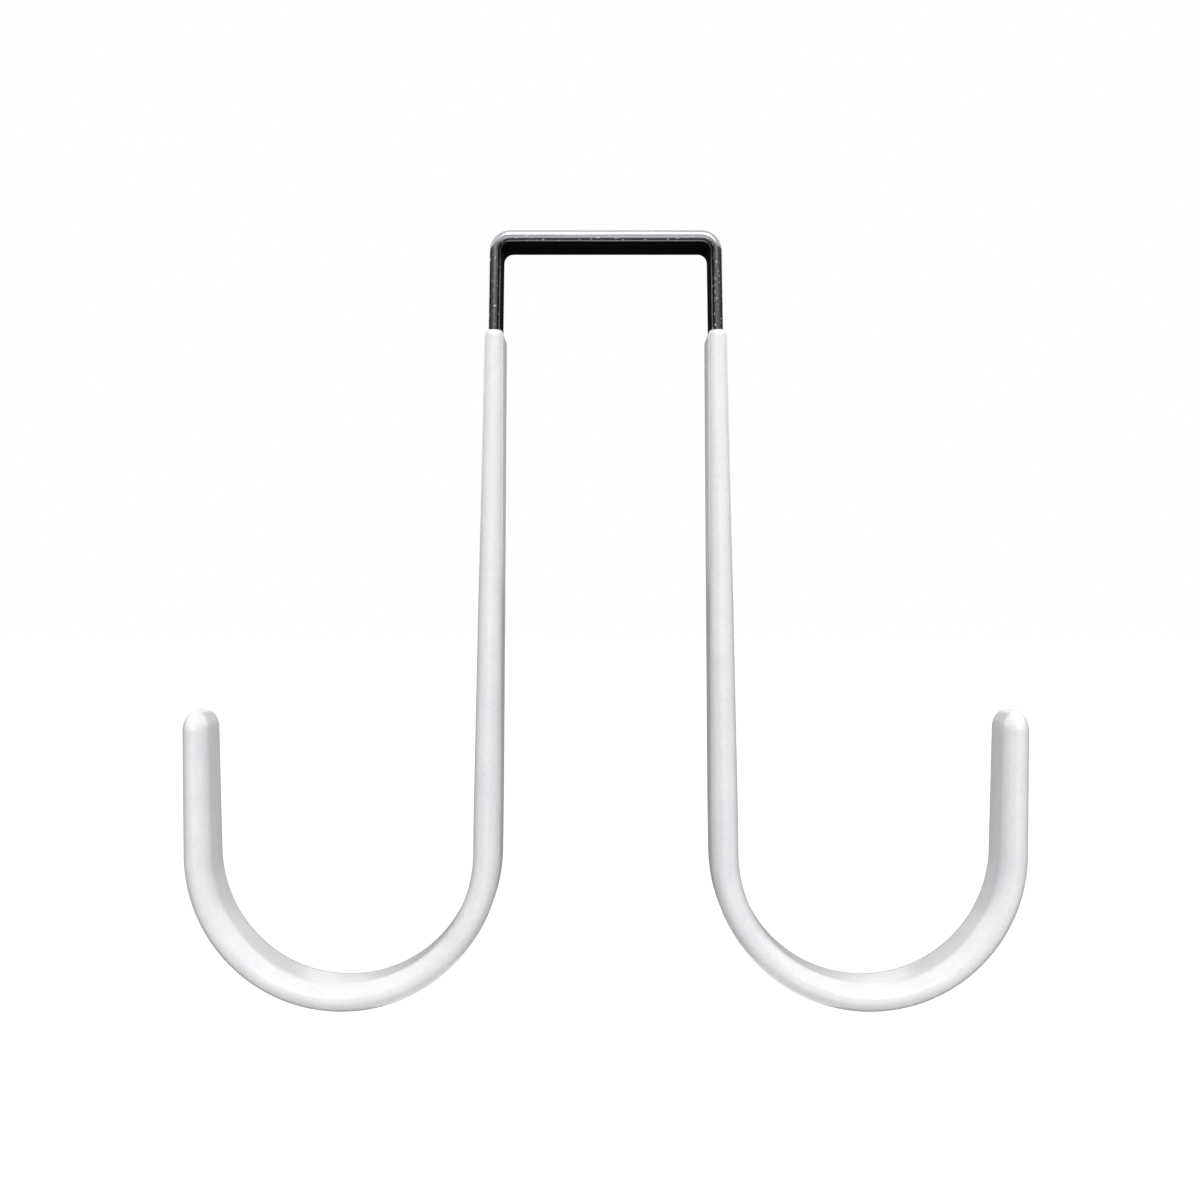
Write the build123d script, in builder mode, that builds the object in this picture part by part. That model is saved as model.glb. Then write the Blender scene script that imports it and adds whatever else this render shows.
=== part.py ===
from build123d import *
import os
from math import cos, radians, sin, tan

# Over-the-door wreath hanger: one flat steel strip bent into a saddle, two legs and two J hooks.
# Legs and hooks are dipped in vinyl, which is thin at its lip and thickens down to the hook.
# The origin is the middle of the saddle's underside, on the top edge of the door. +X runs through
# the door from one hook to the other, +Y runs along the door, and +Z is up.
# Each long rounded edge is three narrow flats that touch its round, which keeps the long bends light.

# Driving dimensions, in millimetres and degrees
door_thickness = 44.5
door_clearance = 0.3  # between the door and each coat, before the legs' splay widens it

strip_width = 19.05
strip_thickness = 2.5
saddle_bend_radius = 2.1  # inside of each bend over the door
leg_splay = 0.85  # lean of each leg away from the door

hook_drop = 136.95  # from the top of the door down to the centre of the hook
hook_bend_radius = 31.2  # inside of the strip's bend
tip_length = 27.9  # straight run from the hook's bend to the end of the strip
tip_flare = 1.0  # lean of each tip away from its leg

coat_start = 19.8  # from the top of the door down to the coat's lip
coat_lip_edge = 0.25  # vinyl at the very edge of the lip
coat_lip_thickness = 0.88  # vinyl below the lip's rounded shoulder
coat_lip_rise = 1.6  # height of that shoulder
coat_hook_thickness = 1.88  # vinyl around the hook
coat_full_length = 12.0  # straight length of that thickness above the centre of the hook
coat_tip_thickness = 1.6  # vinyl around the end of the strip
coat_dome_rise = 4.6  # vinyl beyond the end of the strip
coat_dome_flat = 1.0  # depth of the flat left on top of the dome
coat_dome_shoulder = 5.0  # how much further than its faces the dome's two edges draw in

# Corner radius of each section, as a share of half its depth, and how much further that radius
# reaches across the strip than through it
strip_roundness = 0.94
coat_lip_roundness = 0.85
coat_lip_stretch = 1.4
coat_hook_roundness = 1.0
coat_hook_stretch = 1.7

end_steps = 5  # steps that shape each rounded end of the coat

# Sizes that follow
saddle_gap = door_thickness + 2 * (door_clearance + coat_lip_thickness)
saddle_turn = 90 - leg_splay
saddle_flat_half = saddle_gap / 2 - saddle_bend_radius * tan(radians(saddle_turn / 2))
saddle_axis_radius = saddle_bend_radius + strip_thickness / 2
hook_axis_radius = hook_bend_radius + strip_thickness / 2
hook_turn = 180 - leg_splay - tip_flare
leg_end_height = -hook_drop - hook_axis_radius * sin(radians(leg_splay))
coat_dome_end = (coat_dome_flat - strip_thickness) / 2

# Points of one corner of radius 1, whose three flats touch its round
corner_turns = [radians(turn) for turn in (11.25, 33.75, 56.25, 78.75)]
corner_points = [
    (cos(turn) / cos(corner_turns[0]), sin(turn) / cos(corner_turns[0])) for turn in corner_turns
]


def point_at_height(line, height):
    """Point of a straight line at this height."""
    start, end = line @ 0, line @ 1
    return line @ ((height - start.Z) / (end.Z - start.Z))


def section_plane(point, direction):
    """Plane square to the strip, with the strip's width along its own X."""
    return Plane(origin=point, x_dir=(0, 1, 0), z_dir=direction)


def rounded_section(plane, thickness, roundness, stretch=1, narrowing=0):
    """Outline of the coat where it has this thickness over the strip, or of the bare strip at 0."""
    half_width = strip_width / 2 + thickness - narrowing
    half_depth = strip_thickness / 2 + thickness
    corner_depth = roundness * half_depth
    corner_width = stretch * corner_depth
    corner = [
        (half_width - corner_width * (1 - x), half_depth - corner_depth * (1 - y)) for x, y in corner_points
    ]
    upper_half = corner + [(-x, y) for x, y in reversed(corner)]
    lower_half = [(-x, -y) for x, y in upper_half]
    with BuildSketch(plane) as section:
        Polygon(*upper_half, *lower_half)
    return section.sketch


def rounded_end(plane, rise, thickness, end_thickness, roundness, stretch, shoulder=0):
    """Sections from the coat's full thickness to its end, along a quarter of an ellipse."""
    sections = []
    for step in range(end_steps + 1):
        angle = radians(90 * step / end_steps)
        drawn_in = 1 - cos(angle)
        step_plane = plane.offset(rise * sin(angle))
        step_thickness = thickness - (thickness - end_thickness) * drawn_in
        narrowing = shoulder * drawn_in
        sections.append(rounded_section(step_plane, step_thickness, roundness, stretch, narrowing))
    return sections


# Centreline of the right half of the strip, from the middle of the saddle to the tip
with BuildLine(Plane.XZ) as centreline:
    saddle = Line((0, strip_thickness / 2), (saddle_flat_half, strip_thickness / 2))
    saddle_bend = JernArc(saddle @ 1, saddle % 1, saddle_axis_radius, -saddle_turn)
    leg_length = ((saddle_bend @ 1).Z - leg_end_height) / cos(radians(leg_splay))
    leg = Line(saddle_bend @ 1, saddle_bend @ 1 + (saddle_bend % 1) * leg_length)
    hook = JernArc(leg @ 1, leg % 1, hook_axis_radius, hook_turn)
    tip = Line(hook @ 1, hook @ 1 + (hook % 1) * tip_length)

with BuildLine(Plane.XZ) as full_coat_line:
    full_leg = Line(point_at_height(leg, coat_full_length - hook_drop), leg @ 1)
    add(hook)

# Steel strip, bare at the saddle and running on inside both coats
strip_section = rounded_section(section_plane(saddle @ 0, saddle % 0), 0, strip_roundness)

with BuildPart() as steel_strip:
    sweep(sections=strip_section, path=centreline.line)
    mirror(about=Plane.YZ)

# Vinyl coat of the right leg: rounded lip, thickening leg, hook, and tip with its dome
up_the_leg = (leg % 1) * -1
shoulder_plane = section_plane(point_at_height(leg, -coat_start - coat_lip_rise), up_the_leg)
leg_plane = section_plane(full_leg @ 0, up_the_leg)
hook_end_plane = section_plane(tip @ 0, tip % 0)
tip_plane = section_plane(tip @ 1, tip % 1)

lip_sections = rounded_end(
    shoulder_plane, coat_lip_rise, coat_lip_thickness, coat_lip_edge, coat_lip_roundness, coat_lip_stretch
)
leg_section, hook_end_section = [
    rounded_section(plane, coat_hook_thickness, coat_hook_roundness, coat_hook_stretch)
    for plane in (leg_plane, hook_end_plane)
]
dome_sections = rounded_end(
    tip_plane,
    coat_dome_rise,
    coat_tip_thickness,
    coat_dome_end,
    coat_hook_roundness,
    coat_hook_stretch,
    coat_dome_shoulder,
)

with BuildPart() as vinyl_coat_right:
    loft(sections=lip_sections, ruled=True)
    loft(sections=[lip_sections[0], leg_section], ruled=True)
    sweep(sections=leg_section, path=full_coat_line.line)
    loft(sections=[hook_end_section, *dome_sections], ruled=True)
    add(steel_strip.part, mode=Mode.SUBTRACT)

# Vinyl coat of the left leg
with BuildPart() as vinyl_coat_left:
    mirror(vinyl_coat_right.part, about=Plane.YZ)

os.makedirs("parts", exist_ok=True)

steel_strip.part.label = "steel_strip"
export_step(steel_strip.part, "parts/steel_strip.step")

vinyl_coat_right.part.label = "vinyl_coat_right"
export_step(vinyl_coat_right.part, "parts/vinyl_coat_right.step")

vinyl_coat_left.part.label = "vinyl_coat_left"
export_step(vinyl_coat_left.part, "parts/vinyl_coat_left.step")
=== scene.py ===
from math import cos, pi, radians, sin, tan

import bpy
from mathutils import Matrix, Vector


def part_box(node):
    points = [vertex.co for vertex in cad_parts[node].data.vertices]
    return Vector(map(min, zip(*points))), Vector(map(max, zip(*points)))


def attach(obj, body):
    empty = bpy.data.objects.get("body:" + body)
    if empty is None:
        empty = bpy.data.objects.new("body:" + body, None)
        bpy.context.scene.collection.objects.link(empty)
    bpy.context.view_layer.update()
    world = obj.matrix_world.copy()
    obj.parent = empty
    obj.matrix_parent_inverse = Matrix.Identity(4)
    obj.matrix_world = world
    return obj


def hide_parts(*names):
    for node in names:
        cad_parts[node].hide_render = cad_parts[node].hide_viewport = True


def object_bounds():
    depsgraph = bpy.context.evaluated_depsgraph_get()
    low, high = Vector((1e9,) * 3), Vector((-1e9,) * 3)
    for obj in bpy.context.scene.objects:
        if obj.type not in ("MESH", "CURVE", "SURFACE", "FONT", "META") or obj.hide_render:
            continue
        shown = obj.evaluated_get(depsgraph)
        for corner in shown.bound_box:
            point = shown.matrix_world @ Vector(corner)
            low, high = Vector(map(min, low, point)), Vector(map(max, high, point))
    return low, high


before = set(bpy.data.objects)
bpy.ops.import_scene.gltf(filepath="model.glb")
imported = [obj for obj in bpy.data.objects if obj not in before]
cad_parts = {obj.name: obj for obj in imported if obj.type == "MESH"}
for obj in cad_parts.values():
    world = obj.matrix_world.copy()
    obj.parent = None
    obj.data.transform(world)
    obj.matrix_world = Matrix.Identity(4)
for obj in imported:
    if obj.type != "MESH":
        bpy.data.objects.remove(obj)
cad_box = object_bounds()

# Steel strip: one length of flat strip steel with rolled round edges, plated a bright grey.
# It is bent cold, tight over the two corners of the door and wide round each hook.
# Only the saddle and the tops of the legs stay bare, and the rest runs on inside the vinyl.
mm = 0.001
strip_low, strip_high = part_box("steel_strip")
strip_width = strip_high[1] - strip_low[1]
strip_thickness = strip_high[2]
strip_roundness = 0.94  # corner radius as a share of half the thickness
door_gap = 46.86 * mm  # between the bare legs, at the top of the door
door_bend = 2.1 * mm  # inside of each bend over the door
leg_splay = radians(0.85)
hook_drop = 136.95 * mm  # from the top of the door to the centre of the hook
hook_bend = 31.2 * mm  # inside of the strip's bend
tip_flare = radians(1.0)
tip_length = 27.9 * mm
strip_step = 0.8 * mm  # between the strip's sections along its length
strip_bend_steps = 60

# Corners of the strip's centreline on the right, from the door to the tip, before they are rounded
half_thickness = strip_thickness / 2
door_axis_bend = door_bend + half_thickness
hook_axis_bend = hook_bend + half_thickness
door_corner_x = door_gap / 2 + half_thickness * tan((pi / 2 - leg_splay) / 2)
hook_bottom_z = -hook_drop - hook_axis_bend
leg_foot_x = door_corner_x + (half_thickness - hook_bottom_z) * tan(leg_splay)
hook_centre_x = leg_foot_x + hook_axis_bend * tan((pi / 2 - leg_splay) / 2)
tip_reach = hook_axis_bend * tan((pi / 2 - tip_flare) / 2)
tip_foot_x = hook_centre_x + tip_reach


def tip_point(beyond):
    """Point on the right tip's centreline, this far beyond the end of the strip."""
    reach = tip_reach + tip_length + beyond
    return tip_foot_x + reach * sin(tip_flare), hook_bottom_z + reach * cos(tip_flare)


right_half = [
    (door_corner_x, half_thickness, door_axis_bend),
    (leg_foot_x, hook_bottom_z, hook_axis_bend),
    (tip_foot_x, hook_bottom_z, hook_axis_bend),
    (*tip_point(0), 0),
]


def add_object(name, data):
    """Object with this data, linked to the scene."""
    thing = bpy.data.objects.new(name, data)
    bpy.context.scene.collection.objects.link(thing)
    return thing


def bent_line(name, corners):
    """Object with one line through these corners in the XZ plane, each with the radius of its bend."""
    mesh = bpy.data.meshes.new(name)
    points = [(x, 0, z) for x, z, bend in corners]
    mesh.from_pydata(points, [(i, i + 1) for i in range(len(points) - 1)], [])
    bends = mesh.attributes.new("bend", "FLOAT", "POINT")
    bends.data.foreach_set("value", [bend for x, z, bend in corners])
    return add_object(name, mesh)


def add_node(tree, kind, inputs=None, **settings):
    """Add a node with its settings, set or link its inputs, and return its first output in use."""
    node = tree.nodes.new(kind)
    for name, value in settings.items():
        setattr(node, name, value)
    for key, value in (inputs or {}).items():
        named = [s for s in node.inputs if s.name == key and s.enabled]
        socket = named[0] if named else node.inputs[key]
        if isinstance(value, bpy.types.NodeSocket):
            tree.links.new(value, socket)
        else:
            socket.default_value = value
    return next((s for s in node.outputs if s.enabled), node)


def new_tree(name, inputs):
    """Geometry tree with these inputs and one Geometry output, and its input and output nodes."""
    tree = bpy.data.node_groups.new(name, "GeometryNodeTree")
    for socket, kind in inputs.items():
        tree.interface.new_socket(socket, in_out="INPUT", socket_type="NodeSocket" + kind)
    tree.interface.new_socket("Geometry", in_out="OUTPUT", socket_type="NodeSocketGeometry")
    return tree, tree.nodes.new("NodeGroupInput").outputs, tree.nodes.new("NodeGroupOutput").inputs


# A bar along a path whose section is a rounded rectangle, covered to any depth from point to point.
# The section is drawn at unit size, then each point moves to its true place across the path.
bar, sizes, result = new_tree(
    "rounded_bar",
    {
        "Path": "Geometry",
        "Width": "Float",
        "Thickness": "Float",
        "Cover": "Float",
        "Roundness": "Float",
        "Stretch": "Float",
    },
)
path = bar.nodes.new("GeometryNodeCaptureAttribute")
for kind, name, source in (
    ("VECTOR", "Centre", add_node(bar, "GeometryNodeInputPosition")),
    ("VECTOR", "Direction", add_node(bar, "GeometryNodeInputTangent")),
    ("FLOAT", "Run", add_node(bar, "GeometryNodeSplineParameter").node.outputs["Length"]),
    ("FLOAT", "Width", sizes["Width"]),
    ("FLOAT", "Cover", sizes["Cover"]),
    ("FLOAT", "Roundness", sizes["Roundness"]),
    ("FLOAT", "Stretch", sizes["Stretch"]),
):
    path.capture_items.new(kind, name)
    bar.links.new(source, path.inputs[name])
bar.links.new(sizes["Path"], path.inputs["Geometry"])

corner_steps = 12
unit_section = add_node(bar, "GeometryNodeCurvePrimitiveQuadrilateral", {"Width": 4.0, "Height": 4.0})
unit_section = add_node(
    bar,
    "GeometryNodeFilletCurve",
    {"Curve": unit_section, "Count": corner_steps, "Radius": 1.0},
    mode="POLY",
)
section = bar.nodes.new("GeometryNodeCaptureAttribute")
section.capture_items.new("VECTOR", "At")
bar.links.new(add_node(bar, "GeometryNodeInputPosition"), section.inputs["At"])
bar.links.new(unit_section, section.inputs["Geometry"])
solid = add_node(
    bar,
    "GeometryNodeCurveToMesh",
    {
        "Curve": path.outputs["Geometry"],
        "Profile Curve": section.outputs["Geometry"],
        "Fill Caps": True,
    },
)

half_width = add_node(
    bar,
    "ShaderNodeMath",
    {0: path.outputs["Width"], 1: 0.5, 2: path.outputs["Cover"]},
    operation="MULTIPLY_ADD",
)
half_depth = add_node(
    bar,
    "ShaderNodeMath",
    {0: sizes["Thickness"], 1: 0.5, 2: path.outputs["Cover"]},
    operation="MULTIPLY_ADD",
)
corner_depth = add_node(
    bar, "ShaderNodeMath", {0: half_depth, 1: path.outputs["Roundness"]}, operation="MULTIPLY"
)
corner_width = add_node(
    bar, "ShaderNodeMath", {0: corner_depth, 1: path.outputs["Stretch"]}, operation="MULTIPLY"
)
halves = add_node(bar, "ShaderNodeCombineXYZ", {"X": half_width, "Y": half_depth})
corners = add_node(bar, "ShaderNodeCombineXYZ", {"X": corner_width, "Y": corner_depth})
flats = add_node(bar, "ShaderNodeVectorMath", {0: halves, 1: corners}, operation="SUBTRACT")
on_flat = add_node(
    bar, "ShaderNodeVectorMath", {0: section.outputs["At"], 1: (1, 1, 1)}, operation="MINIMUM"
)
on_flat = add_node(bar, "ShaderNodeVectorMath", {0: on_flat, 1: (-1, -1, -1)}, operation="MAXIMUM")
on_corner = add_node(
    bar, "ShaderNodeVectorMath", {0: section.outputs["At"], 1: on_flat}, operation="SUBTRACT"
)
on_corner = add_node(bar, "ShaderNodeVectorMath", {0: on_corner, 1: corners}, operation="MULTIPLY")
across = add_node(
    bar, "ShaderNodeVectorMath", {0: on_flat, 1: flats, 2: on_corner}, operation="MULTIPLY_ADD"
)
across = add_node(bar, "ShaderNodeSeparateXYZ", {"Vector": across})
outward = add_node(
    bar, "ShaderNodeVectorMath", {0: path.outputs["Direction"], 1: (0, 1, 0)}, operation="CROSS_PRODUCT"
)
sideways = add_node(
    bar, "ShaderNodeVectorMath", {0: outward, "Scale": across.node.outputs["Y"]}, operation="SCALE"
)
place = add_node(
    bar, "ShaderNodeVectorMath", {0: path.outputs["Centre"], 1: sideways}, operation="ADD"
)
along_door = add_node(bar, "ShaderNodeCombineXYZ", {"Y": across})
place = add_node(bar, "ShaderNodeVectorMath", {0: place, 1: along_door}, operation="ADD")
solid = add_node(bar, "GeometryNodeSetPosition", {"Geometry": solid, "Position": place})
on_strip = add_node(
    bar, "ShaderNodeCombineXYZ", {"X": path.outputs["Run"], "Y": across, "Z": across.node.outputs["Y"]}
)
solid = add_node(
    bar,
    "GeometryNodeStoreNamedAttribute",
    {"Geometry": solid, "Name": "on_strip", "Value": on_strip},
    data_type="FLOAT_VECTOR",
)
bar.links.new(solid, result["Geometry"])

# The strip's own tree: the line's corners are rounded to their bends and the bar follows it.
# Its face against the door has a finish of its own, whose darkness is painted shade.
inner_share = 0.99  # of half the thickness, beyond which that finish starts
strip_tree, sizes, result = new_tree(
    "bent_strip",
    {
        "Line": "Geometry",
        "Width": "Float",
        "Thickness": "Float",
        "Roundness": "Float",
        "Step": "Float",
        "Finish": "Material",
        "Inner painted shade": "Material",
    },
)
bend = add_node(strip_tree, "GeometryNodeInputNamedAttribute", {"Name": "bend"}, data_type="FLOAT")
centreline = add_node(strip_tree, "GeometryNodeMeshToCurve", {"Mesh": sizes["Line"]})
centreline = add_node(
    strip_tree,
    "GeometryNodeFilletCurve",
    {"Curve": centreline, "Count": strip_bend_steps, "Radius": bend, "Limit Radius": True},
    mode="POLY",
)
centreline = add_node(
    strip_tree, "GeometryNodeResampleCurve", {"Curve": centreline, "Length": sizes["Step"]}, mode="LENGTH"
)
strip = add_node(
    strip_tree,
    "GeometryNodeGroup",
    {
        "Path": centreline,
        "Width": sizes["Width"],
        "Thickness": sizes["Thickness"],
        "Roundness": sizes["Roundness"],
        "Stretch": 1.0,
    },
    node_tree=bar,
)
strip = add_node(strip_tree, "GeometryNodeSetShadeSmooth", {"Geometry": strip})
strip = add_node(strip_tree, "GeometryNodeRealizeInstances", {"Geometry": strip})
strip = add_node(
    strip_tree, "GeometryNodeSetMaterial", {"Geometry": strip, "Material": sizes["Finish"]}
)
depth = add_node(
    strip_tree, "GeometryNodeInputNamedAttribute", {"Name": "on_strip"}, data_type="FLOAT_VECTOR"
)
depth = add_node(strip_tree, "ShaderNodeSeparateXYZ", {"Vector": depth}).node.outputs["Z"]
# The faces against the door get the material with painted shade
inner_edge = add_node(
    strip_tree, "ShaderNodeMath", {0: sizes["Thickness"], 1: -0.5 * inner_share}, operation="MULTIPLY"
)
inner = add_node(strip_tree, "ShaderNodeMath", {0: depth, 1: inner_edge}, operation="LESS_THAN")
strip = add_node(
    strip_tree,
    "GeometryNodeSetMaterial",
    {"Geometry": strip, "Selection": inner, "Material": sizes["Inner painted shade"]},
)
strip_tree.links.new(strip, result["Geometry"])


def linear(colour):
    """Linear RGBA of an sRGB hex colour."""
    parts = [int(colour[i : i + 2], 16) / 255 for i in (1, 3, 5)]
    return (*(c / 12.92 if c <= 0.04045 else ((c + 0.055) / 1.055) ** 2.4 for c in parts), 1)


def build(piece, tree, values):
    """Run a geometry tree on a piece with these inputs, and leave the result as its plain mesh."""
    modifier = piece.modifiers.new(tree.name, "NODES")
    modifier.node_group = tree
    for item in tree.interface.items_tree:
        if item.name in values:
            modifier[item.identifier] = values[item.name]
    graph = bpy.context.evaluated_depsgraph_get()
    piece.data = bpy.data.meshes.new_from_object(
        piece.evaluated_get(graph), preserve_all_data_layers=True, depsgraph=graph
    )
    piece.modifiers.clear()


# Plated strip steel, with faint lines from rolling along its length, rougher round the edge to the door.
# Its colour across the thickness is bright plating on the outer face, with painted shade across the edge
# and a narrow painted highlight near the face against the door. The narrow edges are nicked from
# handling.
# Painted shade and a painted highlight across the edge, with the plating's bright grey beyond them
plating_and_painted_light = (  # from the face against the door to the outer face, as shares of the thickness
    (0.04, "#8e8f93"),
    (0.1, "#34353a"),
    (0.2, "#3a3b40"),
    (0.36, "#c6c7ca"),
)
polish_start, polish_full = 0.2, 0.4  # shares of the thickness between which the plating turns smooth
dull_roughness, polished_roughness = 0.34, 0.08
rolled_line = (25 * mm, 0.5 * mm, 0.5 * mm)  # wider than real rolling lines, which would not show
line_level = (0.3, 0.7)  # of the noise, from one line to the next
line_shade = (0.7, 1.1)
line_roughness = 0.16
nick = (0.9 * mm, 0.4 * mm, 0.4 * mm)
nick_level = (0.64, 0.7)  # of the noise, from a nick's rim to its bottom
nick_colour = "#d6d6d6"
nick_plating = 0.3  # share of the plating that a nick leaves
nick_start, nick_full = 2 * mm, 1 * mm  # in from the narrow edge, where nicks start and are at their most
nicks_elsewhere = 0.1
plated_steel = bpy.data.materials.new("plated_strip_steel")
plated_steel.use_nodes = True
nodes = plated_steel.node_tree
steel = nodes.nodes["Principled BSDF"]
on_strip = add_node(nodes, "ShaderNodeAttribute", attribute_name="on_strip").node.outputs["Vector"]
line_at = add_node(
    nodes, "ShaderNodeVectorMath", {0: on_strip, 1: rolled_line}, operation="DIVIDE"
)
lines = add_node(nodes, "ShaderNodeTexNoise", {"Vector": line_at, "Scale": 1, "Detail": 3})
directions = add_node(nodes, "ShaderNodeSeparateXYZ", {"Vector": on_strip}).node.outputs
outwards = add_node(
    nodes,
    "ShaderNodeMapRange",
    {"Value": directions["Z"], "From Min": -half_thickness, "From Max": half_thickness},
)
# The ramp paints shade and a highlight across the edge, and the outer face keeps the plating's grey
edge = add_node(nodes, "ShaderNodeValToRGB", {"Fac": outwards})
stops = edge.node.color_ramp.elements
while len(stops) < len(plating_and_painted_light):
    stops.new(1)
for stop, (place, shade) in zip(stops, plating_and_painted_light):
    stop.position = place
    stop.color = linear(shade)
nick_at = add_node(nodes, "ShaderNodeVectorMath", {0: on_strip, 1: nick}, operation="DIVIDE")
nicks = add_node(nodes, "ShaderNodeTexNoise", {"Vector": nick_at, "Scale": 1, "Detail": 2})
nicks = add_node(
    nodes, "ShaderNodeMapRange", {"Value": nicks, "From Min": nick_level[0], "From Max": nick_level[1]}
)
across = add_node(nodes, "ShaderNodeMath", {0: directions["Y"]}, operation="ABSOLUTE")
knocked = add_node(
    nodes,
    "ShaderNodeMapRange",
    {
        "Value": across,
        "From Min": strip_width / 2 - nick_start,
        "From Max": strip_width / 2 - nick_full,
        "To Min": nicks_elsewhere,
    },
)
nicks = add_node(nodes, "ShaderNodeMath", {0: nicks, 1: knocked}, operation="MULTIPLY")
shade = add_node(
    nodes,
    "ShaderNodeMapRange",
    {
        "Value": lines,
        "From Min": line_level[0],
        "From Max": line_level[1],
        "To Min": line_shade[0],
        "To Max": line_shade[1],
    },
)
colour = add_node(nodes, "ShaderNodeVectorMath", {0: edge, "Scale": shade}, operation="SCALE")
colour = add_node(
    nodes, "ShaderNodeMix", {"Factor": nicks, "A": colour, "B": linear(nick_colour)}, data_type="RGBA"
)
nodes.links.new(colour, steel.inputs["Base Color"])
plating = add_node(nodes, "ShaderNodeMapRange", {"Value": nicks, "To Min": 1.0, "To Max": nick_plating})
nodes.links.new(plating, steel.inputs["Metallic"])
roughness = add_node(
    nodes,
    "ShaderNodeMapRange",
    {
        "Value": outwards,
        "From Min": polish_start,
        "From Max": polish_full,
        "To Min": dull_roughness,
        "To Max": polished_roughness,
    },
)
roughness = add_node(
    nodes, "ShaderNodeMath", {0: lines, 1: line_roughness, 2: roughness}, operation="MULTIPLY_ADD"
)
nodes.links.new(roughness, steel.inputs["Roughness"])

# The face against the door is rough steel whose dark colour and dark gloss tint are painted shade.
door_face_painted_shade = bpy.data.materials.new("steel_door_face_painted_shade")
door_face_painted_shade.use_nodes = True
door_face_shade_bsdf = door_face_painted_shade.node_tree.nodes["Principled BSDF"]
door_face_shade_bsdf.inputs["Metallic"].default_value = 1
door_face_shade_bsdf.inputs["Base Color"].default_value = linear("#3a3a3d")
door_face_shade_bsdf.inputs["Specular Tint"].default_value = linear("#303032")
door_face_shade_bsdf.inputs["Roughness"].default_value = 0.4

strip_line = [(-x, z, bend) for x, z, bend in reversed(right_half)] + right_half
steel_strip = bent_line("bent_steel_strip", strip_line)
build(
    steel_strip,
    strip_tree,
    {
        "Width": strip_width,
        "Thickness": strip_thickness,
        "Roundness": strip_roundness,
        "Step": strip_step,
        "Finish": plated_steel,
        "Inner painted shade": door_face_painted_shade,
    },
)
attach(steel_strip, "root")
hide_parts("steel_strip")

# Vinyl coats: each leg and hook was dipped, hot, in liquid white vinyl and hung to cure.
# The vinyl drained towards the hook, so it is thin at its lip and thick and round below, and it closed
# over the end of the strip in a dome.
coat_start = 19.8 * mm  # from the top of the door down to the lip
lip_edge = 0.25 * mm
lip_cover = 0.88 * mm
lip_rise = 1.6 * mm
lip_roundness = 0.85  # corner radius as a share of half the coat's depth
lip_stretch = 1.4  # how much further a rounded edge reaches across the strip than through it
full_height = 125 * mm  # from the top of the door down to where the coat is at its full thickness
hook_cover = 1.87 * mm
hook_roundness = 0.97
hook_stretch = 2.1
tip_cover = 1.6 * mm
dome_rise = 4.6 * mm
dome_flat = 0.3 * mm
dome_shoulder = 5.0 * mm  # how much further than its faces the dome's two edges draw in
waviness = 0.03 * mm
wave_length = 14 * mm
coat_bend_steps = 120
coat_sections = 420
gathering = 0.94  # how far those sections are drawn together towards both ends

lip_x = door_corner_x + (half_thickness + coat_start) * tan(leg_splay)
leg_end_z = -hook_drop - hook_axis_bend * sin(leg_splay)
coated_leg = (-coat_start - leg_end_z) / cos(leg_splay)
thickening_leg = (full_height - coat_start) / cos(leg_splay)
coated_hook = coated_leg + hook_axis_bend * (pi - leg_splay - tip_flare)

coat_tree, sizes, result = new_tree(
    "dipped_coat",
    {
        "Line": "Geometry",
        "Strip": "Object",
        "Width": "Float",
        "Thickness": "Float",
        "Lip edge": "Float",
        "Lip cover": "Float",
        "Lip rise": "Float",
        "Lip roundness": "Float",
        "Lip stretch": "Float",
        "Thickening": "Float",
        "Hook end": "Float",
        "Hook cover": "Float",
        "Hook roundness": "Float",
        "Hook stretch": "Float",
        "Tip cover": "Float",
        "Dome rise": "Float",
        "Dome flat": "Float",
        "Dome shoulder": "Float",
        "Waviness": "Float",
        "Wave length": "Float",
        "Finish": "Material",
    },
)
bend = add_node(coat_tree, "GeometryNodeInputNamedAttribute", {"Name": "bend"}, data_type="FLOAT")
smooth_line = add_node(coat_tree, "GeometryNodeMeshToCurve", {"Mesh": sizes["Line"]})
smooth_line = add_node(
    coat_tree,
    "GeometryNodeFilletCurve",
    {"Curve": smooth_line, "Count": coat_bend_steps, "Radius": bend, "Limit Radius": True},
    mode="POLY",
)

# Points along the line, drawn together towards both ends, where the lip and the dome curve most
evenly = add_node(
    coat_tree,
    "GeometryNodeResampleCurve",
    {"Curve": smooth_line, "Count": coat_sections},
    mode="COUNT",
)
share = add_node(coat_tree, "GeometryNodeSplineParameter")
turn = add_node(coat_tree, "ShaderNodeMath", {0: share, 1: 2 * pi}, operation="MULTIPLY")
turn = add_node(coat_tree, "ShaderNodeMath", {0: turn}, operation="SINE")
share = add_node(
    coat_tree,
    "ShaderNodeMath",
    {0: turn, 1: -gathering / (2 * pi), 2: share},
    operation="MULTIPLY_ADD",
)
gathered = add_node(
    coat_tree, "GeometryNodeSampleCurve", {"Curves": smooth_line, "Factor": share}, mode="FACTOR"
)
centreline = add_node(
    coat_tree,
    "GeometryNodeSetPosition",
    {"Geometry": evenly, "Position": gathered.node.outputs["Position"]},
)

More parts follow.
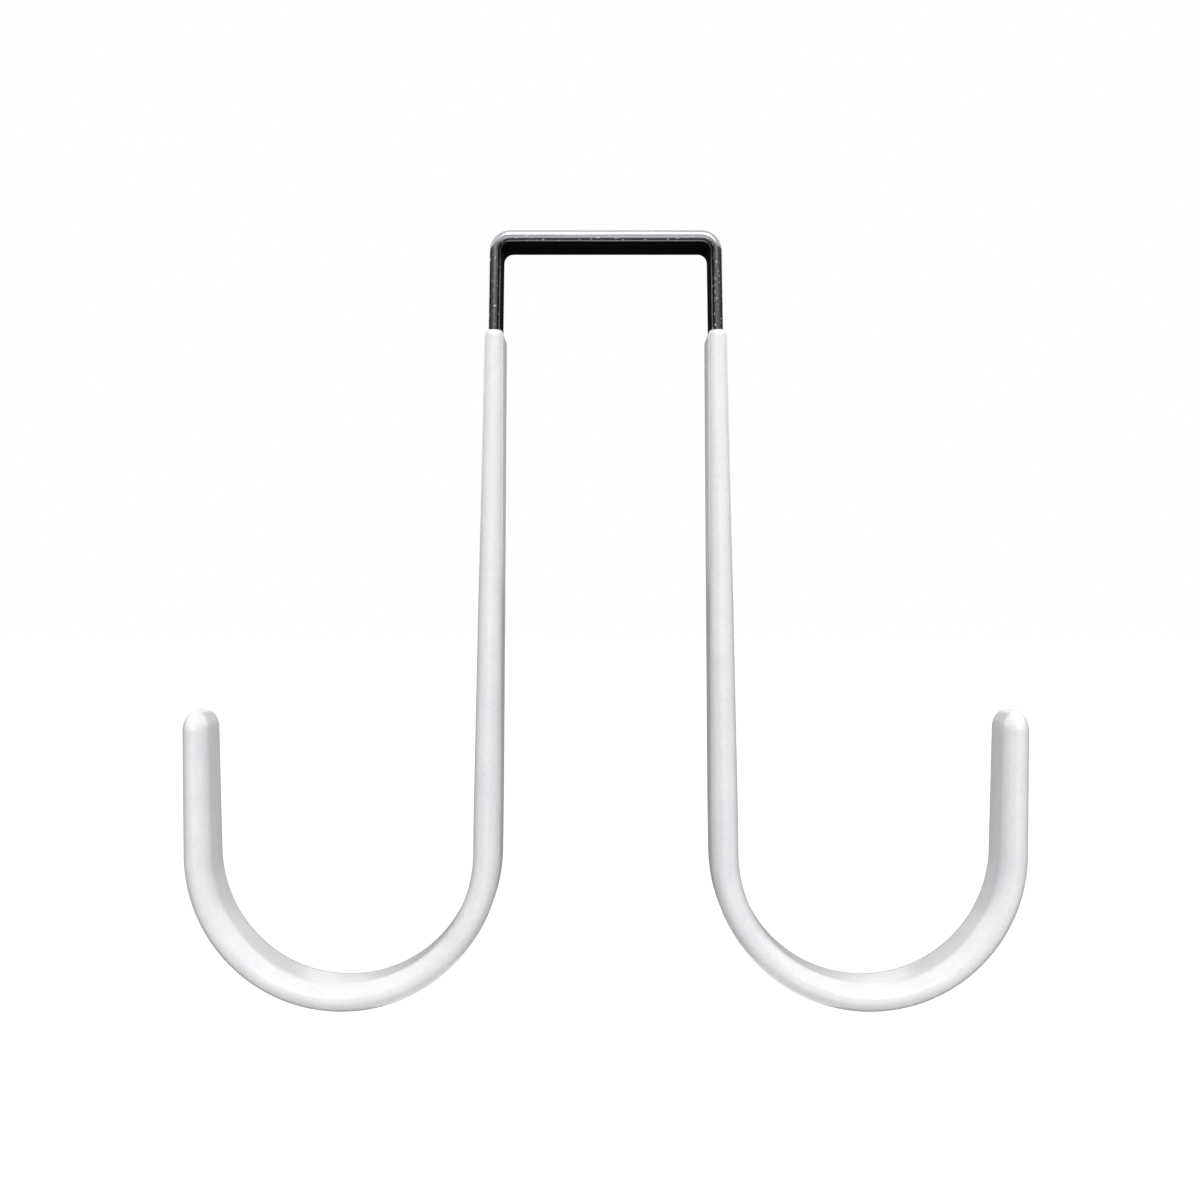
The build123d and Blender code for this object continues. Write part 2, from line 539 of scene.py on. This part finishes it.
# Cover along the line: thickening down the leg, and rounded off by a quarter ellipse at each end
run = add_node(coat_tree, "GeometryNodeSplineParameter").node.outputs["Length"]
full_run = add_node(coat_tree, "GeometryNodeSplineLength")
dome_start = add_node(
    coat_tree, "ShaderNodeMath", {0: full_run, 1: sizes["Dome rise"]}, operation="SUBTRACT"
)
dome_end = add_node(
    coat_tree, "ShaderNodeMath", {0: sizes["Dome flat"], 1: sizes["Thickness"]}, operation="SUBTRACT"
)
dome_end = add_node(coat_tree, "ShaderNodeMath", {0: dome_end, 1: 0.5}, operation="MULTIPLY")
down_the_leg = {"Value": run, "From Min": sizes["Lip rise"], "From Max": sizes["Thickening"]}
cover = add_node(
    coat_tree,
    "ShaderNodeMapRange",
    {**down_the_leg, "To Min": sizes["Lip cover"], "To Max": sizes["Hook cover"]},
)
roundness = add_node(
    coat_tree,
    "ShaderNodeMapRange",
    {**down_the_leg, "To Min": sizes["Lip roundness"], "To Max": sizes["Hook roundness"]},
)
stretch = add_node(
    coat_tree,
    "ShaderNodeMapRange",
    {**down_the_leg, "To Min": sizes["Lip stretch"], "To Max": sizes["Hook stretch"]},
)
up_the_tip = add_node(
    coat_tree, "ShaderNodeMapRange", {"Value": run, "From Min": sizes["Hook end"], "From Max": dome_start}
)
cover = add_node(
    coat_tree,
    "ShaderNodeMix",
    {"Factor": up_the_tip, "A": cover, "B": sizes["Tip cover"]},
    data_type="FLOAT",
)
for curve_from, curve_to, end_cover in (
    (sizes["Lip rise"], 0.0, sizes["Lip edge"]),
    (dome_start, full_run, dome_end),
):
    reach = add_node(
        coat_tree, "ShaderNodeMapRange", {"Value": run, "From Min": curve_from, "From Max": curve_to}
    )
    fullness = add_node(coat_tree, "ShaderNodeMath", {0: reach, 1: reach}, operation="MULTIPLY")
    fullness = add_node(coat_tree, "ShaderNodeMath", {0: 1.0, 1: fullness}, operation="SUBTRACT")
    fullness = add_node(coat_tree, "ShaderNodeMath", {0: fullness}, operation="SQRT")
    cover = add_node(
        coat_tree, "ShaderNodeMix", {"Factor": fullness, "A": end_cover, "B": cover}, data_type="FLOAT"
    )
drawn_in = add_node(
    coat_tree, "ShaderNodeMath", {0: 2.0, 1: sizes["Dome shoulder"]}, operation="MULTIPLY"
)
narrowest = add_node(
    coat_tree, "ShaderNodeMath", {0: sizes["Width"], 1: drawn_in}, operation="SUBTRACT"
)
width = add_node(
    coat_tree,
    "ShaderNodeMix",
    {"Factor": fullness, "A": narrowest, "B": sizes["Width"]},
    data_type="FLOAT",
)

coat = add_node(
    coat_tree,
    "GeometryNodeGroup",
    {
        "Path": centreline,
        "Width": width,
        "Thickness": sizes["Thickness"],
        "Cover": cover,
        "Roundness": roundness,
        "Stretch": stretch,
    },
    node_tree=bar,
)

# Shallow waves that the vinyl sets in, always inwards from its full thickness
wave_scale = add_node(coat_tree, "ShaderNodeMath", {0: 1.0, 1: sizes["Wave length"]}, operation="DIVIDE")
wave = add_node(coat_tree, "ShaderNodeTexNoise", {"Scale": wave_scale, "Detail": 1.0})
wave = add_node(coat_tree, "ShaderNodeMath", {0: wave, 1: sizes["Waviness"]}, operation="MULTIPLY")
wave = add_node(coat_tree, "ShaderNodeMath", {0: wave, 1: -1.0}, operation="MULTIPLY")
inward = add_node(
    coat_tree,
    "ShaderNodeVectorMath",
    {0: add_node(coat_tree, "GeometryNodeInputNormal"), "Scale": wave},
    operation="SCALE",
)
coat = add_node(coat_tree, "GeometryNodeSetPosition", {"Geometry": coat, "Offset": inward})
strip_inside = add_node(coat_tree, "GeometryNodeObjectInfo", {"Object": sizes["Strip"]})
coat = add_node(
    coat_tree,
    "GeometryNodeMeshBoolean",
    {"Mesh 1": coat, "Mesh 2": strip_inside.node.outputs["Geometry"]},
    operation="DIFFERENCE",
    solver="EXACT",
)
coat = add_node(coat_tree, "GeometryNodeSetShadeSmooth", {"Geometry": coat})
coat = add_node(coat_tree, "GeometryNodeRealizeInstances", {"Geometry": coat})
coat = add_node(coat_tree, "GeometryNodeSetMaterial", {"Geometry": coat, "Material": sizes["Finish"]})
coat_tree.links.new(coat, result["Geometry"])

# Dipped vinyl: white and glossy but soft, so its highlights spread a little.
# Its white is uneven by a shade from place to place, where it drained thinner or thicker.
thin_colour, thick_colour = "#eaecef", "#f8f8f8"
drain_width = 9 * mm
skin_grain = 0.9 * mm
cover_level = (0.6, 1.4)  # of both noises together, from thin to thick
dipped_vinyl = bpy.data.materials.new("dipped_white_vinyl")
dipped_vinyl.use_nodes = True
nodes = dipped_vinyl.node_tree
vinyl = nodes.nodes["Principled BSDF"]
vinyl.inputs["IOR"].default_value = 1.53
vinyl.inputs["Roughness"].default_value = 0.22
at = add_node(nodes, "ShaderNodeTexCoord").node.outputs["Object"]
drained = add_node(nodes, "ShaderNodeTexNoise", {"Vector": at, "Scale": 1 / drain_width, "Detail": 2})
grain = add_node(nodes, "ShaderNodeTexNoise", {"Vector": at, "Scale": 1 / skin_grain, "Detail": 2})
shade = add_node(nodes, "ShaderNodeMath", {0: drained, 1: grain}, operation="ADD")
shade = add_node(
    nodes, "ShaderNodeMapRange", {"Value": shade, "From Min": cover_level[0], "From Max": cover_level[1]}
)
colour = add_node(
    nodes,
    "ShaderNodeMix",
    {"Factor": shade, "A": linear(thin_colour), "B": linear(thick_colour)},
    data_type="RGBA",
)
nodes.links.new(colour, vinyl.inputs["Base Color"])

coat_line = [(lip_x, -coat_start, 0), *right_half[1:3], (*tip_point(dome_rise), 0)]
for side, way in (("left", -1), ("right", 1)):
    vinyl_coat = bent_line(f"dipped_vinyl_{side}", [(way * x, z, bend) for x, z, bend in coat_line])
    build(
        vinyl_coat,
        coat_tree,
        {
            "Strip": steel_strip,
            "Width": strip_width,
            "Thickness": strip_thickness,
            "Lip edge": lip_edge,
            "Lip cover": lip_cover,
            "Lip rise": lip_rise,
            "Lip roundness": lip_roundness,
            "Lip stretch": lip_stretch,
            "Thickening": thickening_leg,
            "Hook end": coated_hook,
            "Hook cover": hook_cover,
            "Hook roundness": hook_roundness,
            "Hook stretch": hook_stretch,
            "Tip cover": tip_cover,
            "Dome rise": dome_rise,
            "Dome flat": dome_flat,
            "Dome shoulder": dome_shoulder,
            "Waviness": waviness,
            "Wave length": wave_length,
            "Finish": dipped_vinyl,
        },
    )
    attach(vinyl_coat, "root")
    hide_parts(f"vinyl_coat_{side}")

# Studio floor: a wide sheet of matt white board, well below the hanger, which hangs free above it.
# The camera and the gloss on the metal see it white. Other rays see it greyer, so that the hanger's
# undersides keep their shade.
floor_drop = 130 * mm
floor_reach = 12.0
board_seen, board_unseen = "#f2f2f2", "#c6c6c6"
board_glow = 0.35  # added where it is seen
floor_mesh = bpy.data.meshes.new("studio_floor")
floor_z = cad_box[0][2] - floor_drop
floor_mesh.from_pydata(
    [(x * floor_reach, y * floor_reach, floor_z) for x, y in ((-1, -1), (1, -1), (1, 1), (-1, 1))],
    [],
    [(0, 1, 2, 3)],
)
floor = add_object("studio_floor", floor_mesh)


def seen_directly(tree):
    """1 for a ray from the camera, a glossy surface or glass, and 0 for any other ray."""
    rays = add_node(tree, "ShaderNodeLightPath").node.outputs
    seen = add_node(
        tree, "ShaderNodeMath", {0: rays["Is Camera Ray"], 1: rays["Is Glossy Ray"]}, operation="MAXIMUM"
    )
    return add_node(
        tree, "ShaderNodeMath", {0: seen, 1: rays["Is Transmission Ray"]}, operation="MAXIMUM"
    )


matt_board = bpy.data.materials.new("matt_white_board")
matt_board.use_nodes = True
nodes = matt_board.node_tree
board = nodes.nodes["Principled BSDF"]
board.inputs["Roughness"].default_value = 0.9
board.inputs["Specular IOR Level"].default_value = 0
board.inputs["Emission Color"].default_value = linear("#ffffff")
seen = seen_directly(nodes)
colour = add_node(
    nodes,
    "ShaderNodeMix",
    {"Factor": seen, "A": linear(board_unseen), "B": linear(board_seen)},
    data_type="RGBA",
)
nodes.links.new(colour, board.inputs["Base Color"])
glow = add_node(nodes, "ShaderNodeMath", {0: seen, 1: board_glow}, operation="MULTIPLY")
nodes.links.new(glow, board.inputs["Emission Strength"])
floor_mesh.materials.append(matt_board)

# Studio light: a white surround, and one softbox high in front of the hanger
ambient = 0.82  # of the surround, for rays that only carry light
softbox_at = Vector((0.06, -0.45, 0.37))
hanger_middle = Vector((0, 0, -0.08))
world = bpy.data.worlds.new("white_surround")
world.use_nodes = True
bpy.context.scene.world = world
nodes = world.node_tree
strength = add_node(
    nodes, "ShaderNodeMapRange", {"Value": seen_directly(nodes), "To Min": ambient, "To Max": 1.0}
)
surround = nodes.nodes["Background"]
surround.inputs["Color"].default_value = linear("#ffffff")
nodes.links.new(strength, surround.inputs["Strength"])

softbox = bpy.data.lights.new("softbox", "AREA")
softbox.energy = 1.8
softbox.size = 0.4
softbox_stand = add_object("softbox", softbox)
softbox_stand.location = softbox_at
softbox_stand.rotation_euler = (softbox_at - hanger_middle).to_track_quat("Z", "Y").to_euler()
softbox_stand.visible_camera = False

# Dark cloth around the hanger, which only what is glossy mirrors: it gives the metal its dark faces.
# Straight in front it is a narrow band, at the height that the bare legs mirror, so that the saddle
# stays bright. Behind, two sheets on the floor and a hanging length darken the faces turned that way.
cloth_reach = 0.6
cloth_low, cloth_high = -0.35, 0.22
cloth_fall = 0.6  # its upper edge falls this much for each metre towards the back
fall_start = 0.1
band_low, band_high = 0.03, 0.13
band_front = -0.58  # the cloth is only a band in front of this
sheet_lift = 2 * mm  # of the two sheets above the floor
sheet_front = 0.06  # where they start, behind the hanger
gap_front, gap_back = 0.05, 0.07  # half the gap between the two sheets
hanging_y, hanging_half_width = 0.55, 0.07  # of the length that hangs behind
hanging_high = 0.2
cloth_glow = 0.16  # of its front, which fades to nothing towards the back
cloth_mesh = bpy.data.meshes.new("dark_studio_cloth")
turns = [radians(10 * i) for i in range(37)]
around = [(cloth_reach * cos(turn), cloth_reach * sin(turn)) for turn in turns]
lower_edge = [(x, y, band_low if y < band_front else cloth_low) for x, y in around]
upper_edge = [
    (x, y, band_high if y < band_front else cloth_high - cloth_fall * max(0, y - fall_start))
    for x, y in around
]
ring = lower_edge + upper_edge
ring_faces = [(i, i + 1, i + 1 + len(around), i + len(around)) for i in range(len(around) - 1)]
floor_sheet = (
    (gap_front, sheet_front),
    (cloth_reach, sheet_front),
    (cloth_reach, cloth_reach),
    (gap_back, cloth_reach),
)
behind = [(way * x, y, floor_z + sheet_lift) for way in (-1, 1) for x, y in floor_sheet]
behind += [(way * hanging_half_width, hanging_y, cloth_low) for way in (-1, 1)]
behind += [(way * hanging_half_width, hanging_y, hanging_high) for way in (1, -1)]
behind_faces = [tuple(range(len(ring) + i, len(ring) + i + 4)) for i in range(0, len(behind), 4)]
cloth_mesh.from_pydata(ring + behind, [], ring_faces + behind_faces)
cloth = add_object("dark_studio_cloth", cloth_mesh)
black_cloth = bpy.data.materials.new("matt_black_cloth")
black_cloth.use_nodes = True
nodes = black_cloth.node_tree
cloth_finish = nodes.nodes["Principled BSDF"]
cloth_finish.inputs["Base Color"].default_value = linear("#101010")
cloth_finish.inputs["Roughness"].default_value = 1
cloth_finish.inputs["Specular IOR Level"].default_value = 0
cloth_finish.inputs["Emission Color"].default_value = linear("#ffffff")
at = add_node(nodes, "ShaderNodeTexCoord").node.outputs["Object"]
at = add_node(nodes, "ShaderNodeSeparateXYZ", {"Vector": at}).node.outputs["Y"]
glow = add_node(
    nodes,
    "ShaderNodeMapRange",
    {"Value": at, "From Min": -cloth_reach, "From Max": fall_start, "To Min": cloth_glow, "To Max": 0.0},
)
nodes.links.new(glow, cloth_finish.inputs["Emission Strength"])
cloth_mesh.materials.append(black_cloth)
cloth.visible_camera = False
cloth.visible_diffuse = False
cloth.visible_shadow = False
cloth.visible_transmission = False

# Camera: square on to the hanger's edge, level with the middle of the picture
camera = bpy.data.cameras.new("camera")
camera.sensor_width = 36
camera.lens = 57.4
viewpoint = add_object("camera", camera)
viewpoint.location = (-1.3 * mm, -435.7 * mm, -80.1 * mm)
viewpoint.rotation_euler = (radians(90), 0, 0)
bpy.context.scene.camera = viewpoint

bpy.context.scene.view_settings.view_transform = "Standard"
